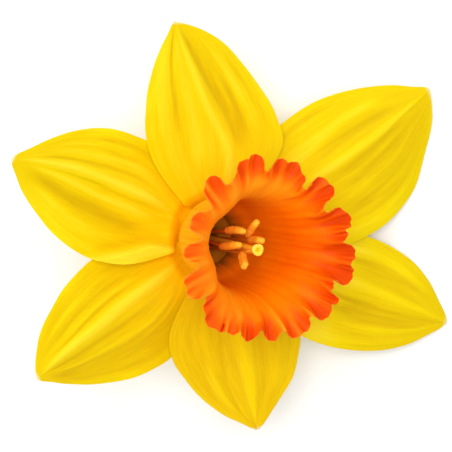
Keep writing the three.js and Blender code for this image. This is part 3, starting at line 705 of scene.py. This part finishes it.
def cup_tones_and_painted_shading(a, u, fold, crimp, flute, edge):
    """Tone of the inner face: painted light on ridges and painted shade in pockets (partly their own deeper
    red), painted shading of crimps and flutes, and the side tone; and painted shading of the outer face
    behind them.
    """
    shade = evened(fold, 2)
    away = 0.5 - 0.5 * np.cos(a - 0.5)
    # Painted shade in the frill's pockets, deeper on the right, and painted highlight on its ridges, stronger
    # on the left
    pocket = smooth_step(0.05, 0.8, -shade) * smooth_step(0.74, 0.93, u) * (1 - 0.6 * smooth_step(0.96, 1, u))
    crest_highlight = 0.3 * smooth_step(0.4, 0.8, u) + (0.5 + 0.6 * away) * smooth_step(0.78, 0.95, u)
    inner = np.maximum(shade, 0) * crest_highlight - (1.5 - 0.5 * away) * pocket
    inner += 0.15 * evened(fold, 8) * smooth_step(0.4, 0.8, u) * (1 - edge)
    inner += cup_side_tone_and_painted_shading(a, u) * smooth_step(0.02, 0.2, u)
    inner += 0.6 * crimp * edge + 0.12 * flute * (1 - edge) * smooth_step(0.2, 0.5, u)
    # Painted shading of the outer face, behind the folds and flutes
    outer = 0.35 * flute * smooth_step(0.1, 0.4, u) - 1.1 * evened(fold, 5) * smooth_step(0.4, 0.9, u)
    return np.clip(inner, -1, 1), np.clip(outer, -1, 1)


def corona_sheet(u):
    """The middle of the cup's wall along rows u from seat to rim, with each point's tones of mostly painted
    light and shade, and azimuth.
    """
    turn, edge_radius, edge_fold = frill_edge()
    u = u[:, None]
    forms = (LOBES_FROM, BEADS_FROM, EDGE_FROM)
    lobes, beads, edge = (smooth_step(first, 1, u) ** power for first, power in forms)
    wide, near = evened(edge_radius, LOBE_SPREAD), evened(edge_radius, BEAD_SPREAD)
    radius_there = wide * lobes + (near - wide) * beads + (edge_radius - near) * edge
    even = round_angles(ROUND_STEPS)
    even_turn = evened(turn, TURN_SPREAD)
    a = even + even_turn + (turn - even_turn) * edge
    flute = np.sin(34 * a[0] + 2 * np.sin(4 * a[0])) * np.sin(9 * a[0] + 0.5)
    crimp = np.sin(84 * even + 2 * np.sin(13 * even)) * np.sin(19 * even)
    middle = spline_through(CORONA_PROFILE, u)
    radius = middle[..., 0] + radius_there - CORONA_PROFILE[-1][0] * lobes
    radius -= FLUTE_DEPTH * flute * smooth_step(0.15, 0.4, u) * (1 - edge)
    for azimuth, width, depth in PINCHES:
        radius -= depth * hump(a - math.radians(azimuth), width) * band(u, (0.35, 0.65), (0.82, 0.97))
    radius += CRIMP * crimp * edge
    drop = fold_height(edge_fold)
    height = middle[..., 1] + NOTCH_RISE * (RIM_RADIUS * lobes - radius_there)
    height += evened(drop, 5) * (beads - edge) * 0.5 + (drop + 1.5 * CRIMP * crimp) * edge
    x = radius * np.cos(a) + CORONA_LEAN[0] * lean_at(height)
    y = radius * np.sin(a) + CORONA_LEAN[1] * lean_at(height)
    inner_tone_and_painted_shading, outer_painted_shading = cup_tones_and_painted_shading(a, u, edge_fold, crimp, flute, edge)
    return np.stack([x, y, height], -1), inner_tone_and_painted_shading, outer_painted_shading, a


def make_corona(outside, inside, lip):
    """The cup as one closed wall: outer face, inner face, thin rim and seat, each with its own tissue."""
    around = ROUND_STEPS
    u = 1 - (1 - np.linspace(0, 1, CORONA_ROWS + 1)) ** ROW_CROWDING
    middle, inner_tone_and_painted_shading, outer_painted_shading, azimuth = corona_sheet(u)
    along = np.gradient(middle, axis=0)
    across = np.roll(middle, -1, axis=1) - np.roll(middle, 1, axis=1)
    normal = np.cross(across, along)
    normal /= np.linalg.norm(normal, axis=-1, keepdims=True)
    half = (RIM_EDGE + (WALL - RIM_EDGE) * band(u, (0, 0.08), (0.6, 1)))[:, None, None] / 2
    points = np.concatenate([middle + normal * half, middle - normal * half]).reshape(-1, 3)
    sheet = inner_tone_and_painted_shading.size
    faces = grid_quads(CORONA_ROWS, around, 0, True, wrap=True)
    slots = [0] * len(faces)
    faces += grid_quads(CORONA_ROWS, around, sheet, False, wrap=True)
    slots += [1] * (len(faces) - len(slots))
    top = CORONA_ROWS * around
    ring = [(k, (k + 1) % around) for k in range(around)]
    faces += [[top + a, top + b, top + b + sheet, top + a + sheet] for a, b in ring]
    slots += [2] * around
    faces += [[b, a, a + sheet, b + sheet] for a, b in ring]
    slots += [1] * around
    share = np.mod(azimuth / (2 * np.pi), 1)
    uv = np.stack([share, np.broadcast_to(u[:, None], share.shape)], -1).reshape(-1, 2)
    corner_uv = uv[np.array(faces) % sheet]
    seam = corner_uv[..., 0].max(1) - corner_uv[..., 0].min(1) > 0.5
    corner_uv[..., 0] += seam[:, None] & (corner_uv[..., 0] < 0.5)
    cup = mesh_from("corona_look", laid_down(points), faces, corner_uv.reshape(-1, 2), slots)
    add_tone_and_painted_shading(cup, np.concatenate([outer_painted_shading.ravel(), inner_tone_and_painted_shading.ravel()]))
    for material in (outside, inside, lip):
        cup.data.materials.append(material)
    return cup


# Tube, stamens and pistil


def path_points(knots, count):
    """Points evenly spread along a smooth path through the knots."""
    pts = np.array(knots, float)
    padded = np.vstack([2 * pts[0] - pts[1], pts, 2 * pts[-1] - pts[-2]])
    fine = []
    for i in range(len(pts) - 1):
        p0, p1, p2, p3 = padded[i : i + 4]
        w = np.linspace(0, 1, PATH_POINTS_PER_KNOT, endpoint=False)[:, None]
        fine.append(hermite(p1, p2, (p2 - p0) / 2, (p3 - p1) / 2, w))
    fine = np.vstack(fine + [pts[-1:]])
    run = np.concatenate([[0], np.cumsum(np.linalg.norm(np.diff(fine, axis=0), axis=1))])
    at = np.linspace(0, run[-1], count)
    return np.stack([np.interp(at, run, fine[:, k]) for k in range(3)], -1)


def side_vectors(path):
    """Two directions square to the path at each of its points, carried along without twisting."""
    way = np.gradient(path, axis=0)
    way /= np.linalg.norm(way, axis=1, keepdims=True)
    first = np.cross(way[0], (0.0, 1.0, 0.0))
    sides = []
    for w in way:
        first = first - w * first.dot(w)
        first /= np.linalg.norm(first)
        sides.append((first.copy(), np.cross(w, first)))
    return sides


def ring_round(centre, radius, angles, a, b):
    """Points round a centre in the plane of a and b; the radius is one number, or one for each angle."""
    return centre + np.reshape(radius, (-1, 1)) * (np.cos(angles)[:, None] * a + np.sin(angles)[:, None] * b)


def stacked(name, rings, ends, along, materials, end_place=1.0, slots=None):
    """A closed mesh of rings and two end points. UV u runs round the rings and v is each ring's place."""
    rows, steps = len(rings), len(rings[0])
    after = rows * steps
    faces = grid_quads(rows - 1, steps, 0, True, wrap=True)
    faces += [[after, (k + 1) % steps, k] for k in range(steps)]
    faces += [[after + 1, after - steps + k, after - steps + (k + 1) % steps] for k in range(steps)]
    uv = [(k / steps, v) for v in along for k in range(steps)] + [(0.5, 0.0), (0.5, end_place)]
    corner_uv = [uv[c] for face in faces for c in face]
    shape = mesh_from(name, laid_down(np.vstack(rings + [[end] for end in ends])), faces, corner_uv, slots)
    for material in materials:
        shape.data.materials.append(material)
    return shape


def swept(name, path, radius_at, steps, material):
    """A closed stalk round a path. radius_at(share, angles) gives the radius."""
    angles = round_angles(steps)
    along = [i / (len(path) - 1) for i in range(len(path))]
    stations = zip(path, along, side_vectors(path))
    rings = [ring_round(spot, radius_at(share, angles), angles, a, b) for spot, share, (a, b) in stations]
    return stacked(name, rings, (path[0], path[-1]), along, [material])


def tapered(radii):
    """A round stalk's radius, changing evenly from its foot to its head."""
    return lambda share, angles: np.full(len(angles), radii[0] + (radii[1] - radii[0]) * share)


def stalk_radius(q):
    """The outer radius at share q of the way from the tube's top to the cut."""
    shares, radii = np.array(STALK_RADII).T
    k = int(np.clip(np.searchsorted(shares, q), 1, len(shares) - 1))
    return radii[k - 1] + (radii[k] - radii[k - 1]) * float(smooth_step(shares[k - 1], shares[k], q))


def make_tube(skin, throat):
    """Floral tube, hollow at the top, swelling into the ovary, then the bent cut stalk."""
    path = path_points(STALK_PATH, TUBE_ROWS)
    angles = round_angles(TUBE_STEPS)
    frames = side_vectors(path)
    rings, along = [], []
    for j in list(range(HOLLOW_ROWS, -1, -1)) + list(range(len(path))):
        q = j / (len(path) - 1)
        ribs = OVARY_RIBS * np.cos(6 * angles) * smooth_step(0.35, 0.5, q) + SKIN_RIBS * np.cos(18 * angles)
        is_inner = len(rings) <= HOLLOW_ROWS
        radius = stalk_radius(q) - TUBE_WALL if is_inner else stalk_radius(q) * (1 + ribs)
        rings.append(ring_round(path[j], radius, angles, *frames[j]))
        along.append(q)
    inner_rows = HOLLOW_ROWS + 1
    for ring, radius, height in FLARE:
        rings.insert(inner_rows + ring, ring_round(path[0] + (0, 0, height), radius, angles, *frames[0]))
        along.insert(inner_rows + ring, 0.0)
    outer_rows = len(rings) - 1 - inner_rows
    row_slots = [1] * inner_rows + [0] * outer_rows + [1, 0]
    slots = [slot for slot in row_slots for _ in range(TUBE_STEPS)]
    ends = (path[HOLLOW_ROWS], path[-1])
    return stacked("floral_tube_look", rings, ends, along, [skin, throat], CUT_END_PLACE, slots)


def make_filament(index, material):
    """The thread from the tube's wall up to an anther."""
    azimuth, foot, _, _ = STAMENS[index]
    a = math.radians(azimuth)
    low = [(reach * math.cos(a), reach * math.sin(a), z) for reach, z in (FILAMENT_FOOT, FILAMENT_MIDDLE)]
    path = path_points([*low, foot], FILAMENT_MESH[0])
    return swept(f"filament_{index + 1}", path, tapered(FILAMENT_RADII), FILAMENT_MESH[1], material)


def make_anther(index, material):
    """Two long pollen sacs side by side, split lengthwise, slightly curled."""
    _, foot, head, roll = STAMENS[index]
    foot, head = np.array(foot, float), np.array(head, float)
    outward = np.array([foot[0] + head[0], foot[1] + head[1], 0.0])
    outward /= np.linalg.norm(outward)
    middle = (foot + head) / 2 + outward * ANTHER_BULGE
    path = path_points([foot - (head - foot) * 0.04, middle, head], ANTHER_MESH[0])

    def sac_radius(q, angles):
        swell = max(1 - abs(2 * q - 1) ** 7, 0.0) ** 0.5
        wide, flat = np.cos(angles - roll), np.sin(angles - roll)
        sacs = SAC_RADIUS + SAC_BULGE * wide**2
        groove = SLIT_DEPTH * hump(wide, 0.3) + SEAM_DEPTH * hump(flat, 0.2)
        return np.maximum(swell * (sacs - groove) * (1 + 0.04 * math.sin(19 * q + index)), 0.04)

    return swept(f"anther_{index + 1}", path, sac_radius, ANTHER_MESH[1], material)


def turned(name, base, way, profile, steps, lobing, material):
    """A closed shape turned on the axis `way`. profile holds (height, radius), lobing scales it by angle."""
    angles = round_angles(steps)
    first = np.cross(way, (0.0, 1.0, 0.0))
    first /= np.linalg.norm(first)
    second = np.cross(way, first)
    rings = [ring_round(base + way * h, r * lobing(angles), angles, first, second) for h, r in profile]
    ends = [base + way * profile[k][0] for k in (0, -1)]
    along = [i / (len(profile) - 1) for i in range(len(profile))]
    return stacked(name, rings, ends, along, [material])


def make_pistil(style, stigma):
    """Slim style with a nearly round, dimpled stigma of three shallow lobes."""
    path = path_points(PISTIL_PATH, STYLE_MESH[0])
    pistil = swept("style", path[:-STYLE_HIDDEN_POINTS], tapered(STYLE_RADII), STYLE_MESH[1], style)
    way = (path[-1] - path[-8]) / np.linalg.norm(path[-1] - path[-8])
    heights, radii = np.array(STIGMA_OUTLINE).T
    place = np.linspace(0, 1, STIGMA_MESH[0])
    spots = np.linspace(0, 1, len(STIGMA_OUTLINE))
    profile = list(zip(np.interp(place, spots, heights), np.interp(place, spots, radii)))

    def lobes(a):
        return 1 + STIGMA_LOBES * np.cos(3 * a + 0.6) + STIGMA_RIPPLE * np.cos(11 * a)

    head = turned("stigma", path[-1] - way * STIGMA_SINK, way, profile, STIGMA_MESH[1], lobes, stigma)
    return pistil, head


# Grains


def grain_scatter_tree():
    """Strews little grains over a surface and joins them to it as real geometry."""
    tree = bpy.data.node_groups.new("grain_scatter", "GeometryNodeTree")
    taken = {
        "Surface": "Geometry", "Grains per square metre": "Float", "Grain radius": "Float",
        "Seed": "Int", "Grain material": "Material",
    }
    for name, kind in taken.items():
        tree.interface.new_socket(name, in_out="INPUT", socket_type="NodeSocket" + kind)
    tree.interface.new_socket("Surface with grains", in_out="OUTPUT", socket_type="NodeSocketGeometry")
    given = add_node(tree, "NodeGroupInput").outputs
    strewn = {"Mesh": given["Surface"], "Density": given["Grains per square metre"], "Seed": given["Seed"]}
    spots = add_node(tree, "GeometryNodeDistributePointsOnFaces", strewn)
    ball = add_node(tree, "GeometryNodeMeshIcoSphere", {"Radius": given["Grain radius"], "Subdivisions": 1})
    balls = {"Points": spots.outputs["Points"], "Instance": ball.outputs["Mesh"]}
    placed = add_node(tree, "GeometryNodeInstanceOnPoints", balls)
    both = add_node(tree, "GeometryNodeJoinGeometry", {"Geometry": given["Surface"]})
    tree.links.new(placed.outputs["Instances"], both.inputs["Geometry"])
    real = add_node(tree, "GeometryNodeRealizeInstances", {"Geometry": both.outputs["Geometry"]})
    soft = add_node(tree, "GeometryNodeSetShadeSmooth", {"Geometry": real.outputs["Geometry"]})
    painted = {"Geometry": soft.outputs["Geometry"], "Material": given["Grain material"]}
    dressed = add_node(tree, "GeometryNodeSetMaterial", painted)
    add_node(tree, "NodeGroupOutput", {"Surface with grains": dressed.outputs["Geometry"]})
    return tree


def strew_grains(obj, tree, per_square_mm, radius_mm, seed, material):
    """Runs the scatter on obj and keeps the result as its plain mesh."""
    modifier = obj.modifiers.new("grains", "NODES")
    modifier.node_group = tree
    sockets = {i.name: i.identifier for i in tree.interface.items_tree if i.in_out == "INPUT"}
    modifier[sockets["Grains per square metre"]] = per_square_mm * 1e6
    modifier[sockets["Grain radius"]] = radius_mm * MM
    modifier[sockets["Seed"]] = seed
    modifier[sockets["Grain material"]] = material
    graph = bpy.context.evaluated_depsgraph_get()
    made = bpy.data.meshes.new_from_object(obj.evaluated_get(graph), depsgraph=graph)
    obj.modifiers.clear()
    obj.data = made
    return obj


# Materials


def add_node(tree, kind, inputs=None, stops=None, **settings):
    """Adds a node. inputs maps sockets to values or nodes' outputs; stops are a ramp's places and colours."""
    node = tree.nodes.new(kind)
    for key, value in settings.items():
        setattr(node, key, value)
    for key, value in (inputs or {}).items():
        if isinstance(value, bpy.types.NodeSocket):
            tree.links.new(value, node.inputs[key])
        else:
            node.inputs[key].default_value = value
    if stops:
        elements = node.color_ramp.elements
        while len(elements) < len(stops):
            elements.new(0.5)
        for element, (place, colour) in zip(elements, stops):
            element.position = place
            element.color = linear(colour)
    return node


def tissue(name, roughness, subsurface, depth_mm):
    """A material of moist plant tissue: a weak gloss on a skin that lets some light in."""
    material = bpy.data.materials.new(name)
    material.use_nodes = True
    tree = material.node_tree
    shader = tree.nodes["Principled BSDF"]
    shader.inputs["Roughness"].default_value = roughness
    shader.inputs["IOR"].default_value = 1.4
    shader.inputs["Specular IOR Level"].default_value = 0.1
    shader.inputs["Subsurface Weight"].default_value = subsurface
    shader.inputs["Subsurface Radius"].default_value = [depth_mm * share * MM for share in LIGHT_DEPTHS]
    shader.inputs["Subsurface Scale"].default_value = 1.0
    return material, tree, shader


def finish_tissue(tree, shader, colour, height, relief_mm):
    """Joins a colour and a fine relief to the surface."""
    bump = add_node(tree, "ShaderNodeBump", {"Height": height, "Strength": 0.6, "Distance": relief_mm * MM})
    tree.links.new(bump.outputs["Normal"], shader.inputs["Normal"])
    tree.links.new(colour, shader.inputs["Base Color"])


def toned(tree, base, tone, light, deep, strength):
    """Base colour, made lighter where tone is above zero and deeper where it is below."""
    up = add_node(tree, "ShaderNodeMath", {0: tone, 1: strength}, operation="MULTIPLY", use_clamp=True)
    down = add_node(tree, "ShaderNodeMath", {0: tone, 1: -strength}, operation="MULTIPLY", use_clamp=True)
    lit = add_node(tree, "ShaderNodeMix", {0: up.outputs[0], 6: base, 7: linear(light)}, data_type="RGBA")
    sunk = {0: down.outputs[0], 6: lit.outputs[2], 7: linear(deep)}
    return add_node(tree, "ShaderNodeMix", sunk, data_type="RGBA").outputs[2]


def drawn_noise(tree, uv, across, along, detail):
    """Noise drawn out lengthwise: across and along are how many patches fit in the width and length."""
    stretch = add_node(tree, "ShaderNodeMapping", {"Vector": uv, "Scale": (across, along, 1.0)})
    texture = {"Vector": stretch.outputs[0], "Scale": 1.0, "Detail": detail, "Roughness": 0.6}
    return add_node(tree, "ShaderNodeTexNoise", texture).outputs["Fac"]


def swayed(tree, value, pattern, gain):
    """The value, swaying up and down by a 0 to 1 pattern."""
    swing = add_node(tree, "ShaderNodeMath", {0: pattern, 1: 0.5}, operation="SUBTRACT").outputs[0]
    moved = {0: swing, 1: gain, 2: value}
    return add_node(tree, "ShaderNodeMath", moved, operation="MULTIPLY_ADD").outputs[0]


def blade_place(tree):
    """UV of the piece and place along it."""
    uv = add_node(tree, "ShaderNodeUVMap", uv_map="blade").outputs["UV"]
    return uv, add_node(tree, "ShaderNodeSeparateXYZ", {"Vector": uv}).outputs["Y"]


def petal_tissue():
    # Daffodil petal: velvety skin over parallel veins under a millimetre apart, matt with lengthwise streaks
    material, tree, shader = tissue("daffodil petal, velvety veined tissue", 0.6, 0.3, 0.9)
    uv, along = blade_place(tree)
    # The tone: painted light and shade of folds, whole blades, lip and base under the frill, with some of the
    # blade's own streaks
    folds = add_node(tree, "ShaderNodeAttribute", attribute_name="tone").outputs["Fac"]
    veins = drawn_noise(tree, uv, 48, 5, 5.0)
    patches = drawn_noise(tree, uv, 11, 2.2, 3.0)
    # Brighter and more orange at the base: the petals' own orange flush, and painted light against the shade
    # where they meet the cup
    stops = [
        (0.0, "#ffcc00"), (0.03, "#ffc800"), (0.07, "#fac400"), (0.14, "#f0c400"),
        (0.25, "#e8c800"), (0.6, "#e6cc00"), (0.984, "#e6ca00"), (1.0, "#f0e8b8"),
    ]
    base = add_node(tree, "ShaderNodeValToRGB", {"Fac": along}, stops=stops).outputs["Color"]
    tone = swayed(tree, swayed(tree, folds, veins, 1.3), patches, 1.1)
    finish_tissue(tree, shader, toned(tree, base, tone, "#ffe83c", "#c09800", 0.5), veins, 0.1)
    return material


def cup_tissue(name, stops, light, deep):
    # Daffodil cup: thicker, smoother and waxier than the petals, finely pleated lengthwise
    material, tree, shader = tissue(name, 0.5, 0.22, 0.5)
    uv, along = blade_place(tree)
    # The tone: painted light on the frill's ridges, painted shade in its pockets, painted shading of its
    # crimps and flutes, with the cup's own side hues
    folds = add_node(tree, "ShaderNodeAttribute", attribute_name="tone").outputs["Fac"]
    pleats = drawn_noise(tree, uv, 120, 3, 5.0)
    streaks = drawn_noise(tree, uv, 34, 2, 3.0)
    place = swayed(tree, along, streaks, 0.16)
    base = add_node(tree, "ShaderNodeValToRGB", {"Fac": place}, stops=stops).outputs["Color"]
    tone = swayed(tree, swayed(tree, folds, pleats, 0.45), streaks, 0.9)
    finish_tissue(tree, shader, toned(tree, base, tone, light, deep, 0.75), pleats, 0.08)
    return material


def fleshy_tissue(name, stops, roughness, grain_mm, relief_mm, light, deep):
    """Tissue whose colour runs along the piece, with a fine grain of grain_mm."""
    material, tree, shader = tissue(name, roughness, 0.15, 0.6)
    _, along = blade_place(tree)
    base = add_node(tree, "ShaderNodeValToRGB", {"Fac": along}, stops=stops).outputs["Color"]
    here = add_node(tree, "ShaderNodeTexCoord").outputs["Object"]
    grain_inputs = {"Vector": here, "Scale": 1 / (grain_mm * MM), "Detail": 3.0}
    grain = add_node(tree, "ShaderNodeTexNoise", grain_inputs).outputs["Fac"]
    tone = swayed(tree, 0.0, grain, 1.6)
    finish_tissue(tree, shader, toned(tree, base, tone, light, deep, 0.6), grain, relief_mm)
    return material


def cup_inside():
    # Inner face: brown where it meets the tube, orange up the wall and red at the frill
    stops = [
        (0.0, "#8c6416"), (0.04, "#a06814"), (0.1, "#dc780c"), (0.2, "#ff8406"), (0.36, "#ff8600"),
        (0.7, "#ff8400"), (0.84, "#ff7a02"), (0.93, "#fe6804"), (1.0, "#fc6206"),
    ]
    return cup_tissue("daffodil cup, waxy orange inner face", stops, "#ffa81a", "#ce3800")


def cup_outside():
    # Outer face: yellow at the foot, partly painted light against the shade by the petals there, light orange
    # towards the rim
    stops = [
        (0.0, "#ffc01c"), (0.3, "#ffae16"), (0.5, "#ffa010"),
        (0.75, "#ff960c"), (0.9, "#ff8a0a"), (1.0, "#fc7408"),
    ]
    return cup_tissue("daffodil cup, light orange outer face", stops, "#ffb628", "#f07c02")


def cup_lip():
    # The frill's thin edge: orange, with painted highlight on its ridges
    stops = [(0.0, "#fc6c08"), (1.0, "#fc6c08")]
    return cup_tissue("daffodil cup, thin orange edge", stops, "#ffa448", "#d84808")


def stalk_skin():
    # Stalk and ovary: hairless green skin with a faint bloom, slightly glossy; pale wet fibres at the cut
    stops = [
        (0.0, "#ecc404"), (0.04, "#dcc010"), (0.1, "#c8b81c"), (0.3, "#98ac32"),
        (0.5, "#6a9430"), (0.75, "#78a03a"), (0.98, "#80a644"), (1.0, "#c8d49a"),
    ]
    return fleshy_tissue("daffodil stalk, smooth green skin", stops, 0.42, 1.2, 0.05, "#a8c060", "#58802a")


def tube_throat():
    # Inside of the floral tube: smooth moist skin, dark olive in the depth
    stops = [(0.0, "#c88016"), (0.1, "#a87c1e"), (0.4, "#70661c")]
    return fleshy_tissue("floral tube, dark olive throat", stops, 0.5, 1.4, 0.04, "#c88424", "#4a2c06")


def stamen_thread():
    # Filament: smooth watery flesh, brownish at the foot and orange under the anther
    stops = [(0.0, "#8a6a18"), (0.5, "#a8681a"), (1.0, "#dc8420")]
    return fleshy_tissue("stamen thread, smooth amber flesh", stops, 0.5, 0.4, 0.03, "#d09030", "#6a3406")


def anther_pollen():
    # Pollen sacs: dry, powdery grains about 0.05 mm wide, drawn coarser so that they show
    stops = [(0.0, "#ffa02c"), (0.6, "#ffa824"), (0.85, "#ffbc2c"), (1.0, "#ffc83a")]
    return fleshy_tissue("anther, powdery amber pollen", stops, 0.9, 0.25, 0.1, "#ffcc50", "#f08a08")


def style_flesh():
    # Style: smooth pale flesh, olive at the foot
    stops = [(0.0, "#a8a030"), (0.6, "#e6b428"), (1.0, "#ffbe2a")]
    return fleshy_tissue("style, pale yellow flesh", stops, 0.45, 0.4, 0.03, "#ffd860", "#d89018")


def stigma_papillae():
    # Stigma: moist papillae, palest on the rim round its dimple
    stops = [(0.0, "#ffb428"), (0.5, "#ffdc50"), (0.72, "#ffd83c"), (0.85, "#ecc808"), (1.0, "#e4bc08")]
    return fleshy_tissue("stigma, moist pale yellow papillae", stops, 0.35, 0.25, 0.08, "#fff080", "#e8b010")


# Studio


def laid_axes():
    """Right, up and back of the view, in the laid-down frame."""
    turn = resting_turn().to_3x3()
    return [turn @ axis for axis in view_axes()]


def make_camera():
    """Sets the photograph's view; returns the point that it looks at, in metres."""
    right, up, back = laid_axes()
    target = resting_turn() @ view_target()
    camera = bpy.data.objects.new("camera", bpy.data.cameras.new("camera"))
    bpy.context.scene.collection.objects.link(camera)
    camera.data.sensor_width = SENSOR_WIDTH
    camera.data.lens = CAMERA_DISTANCE * PIXELS_PER_MM * SENSOR_WIDTH / FRAME_PIXELS
    camera.data.clip_start = 0.05
    place = Matrix((right, up, back)).transposed().to_4x4()
    place.translation = (target + back * CAMERA_DISTANCE) * MM
    camera.matrix_world = place
    bpy.context.scene.camera = camera
    return target * MM


def soft_light(name, target, direction, distance, size, power):
    """A round lamp that shines at the target from a direction."""
    light = bpy.data.objects.new(name, bpy.data.lights.new(name, "AREA"))
    bpy.context.scene.collection.objects.link(light)
    light.data.shape = "DISK"
    light.data.size = size
    light.data.energy = power
    direction = direction.normalized()
    light.location = target + direction * distance
    light.rotation_mode = "QUATERNION"
    light.rotation_quaternion = direction.to_track_quat("Z", "Y")


def make_studio(target):
    """Pale paper floor, white surroundings, a soft lamp at the view's upper left and one beside the lens."""
    right, up, back = laid_axes()
    sheet = bpy.data.meshes.new("floor")
    corners = [(x * FLOOR_HALF, y * FLOOR_HALF, -FLOOR_DROP) for x, y in ((-1, -1), (1, -1), (1, 1), (-1, 1))]
    sheet.from_pydata(corners, [], [(0, 1, 2, 3)])
    floor = bpy.data.objects.new("floor", sheet)
    bpy.context.scene.collection.objects.link(floor)
    # Studio paper: matt, bright and without texture
    paper = bpy.data.materials.new("matt white studio paper")
    paper.use_nodes = True
    paper.node_tree.nodes["Principled BSDF"].inputs["Base Color"].default_value = linear("#f6f6f6")
    paper.node_tree.nodes["Principled BSDF"].inputs["Roughness"].default_value = 0.95
    floor.data.materials.append(paper)
    for name, (backward, upward, rightward), distance, size, power in LAMPS:
        direction = back * backward + up * upward + right * rightward
        soft_light(name, target, direction, distance, size, power)
    world = bpy.data.worlds.new("white surroundings")
    world.use_nodes = True
    world.node_tree.nodes["Background"].inputs["Color"].default_value = (1.0, 1.0, 1.0, 1.0)
    world.node_tree.nodes["Background"].inputs["Strength"].default_value = SURROUNDINGS
    bpy.context.scene.world = world
    bpy.context.scene.view_settings.view_transform = "Standard"


def dress(piece, node):
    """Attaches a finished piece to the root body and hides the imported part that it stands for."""
    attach(piece, "root")
    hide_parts(node)


def main():
    yellow = petal_tissue()
    for name in PETALS:
        dress(make_petal(name, yellow), name)
    dress(make_corona(cup_outside(), cup_inside(), cup_lip()), "corona")
    dress(make_tube(stalk_skin(), tube_throat()), "floral_tube")
    grains = grain_scatter_tree()
    thread, pollen = stamen_thread(), anther_pollen()
    for index in range(len(STAMENS)):
        node = f"stamen_{index + 1}"
        dress(make_filament(index, thread), node)
        sacs = make_anther(index, pollen)
        anther = strew_grains(sacs, grains, POLLEN_PER_SQUARE_MM, GRAIN_RADIUS, index + 1, pollen)
        dress(anther, node)
    papillae = stigma_papillae()
    pistil, head = make_pistil(style_flesh(), papillae)
    dress(pistil, "pistil")
    head = strew_grains(head, grains, PAPILLAE_PER_SQUARE_MM, GRAIN_RADIUS, PAPILLAE_SEED, papillae)
    dress(head, "pistil")
    make_studio(make_camera())


main()
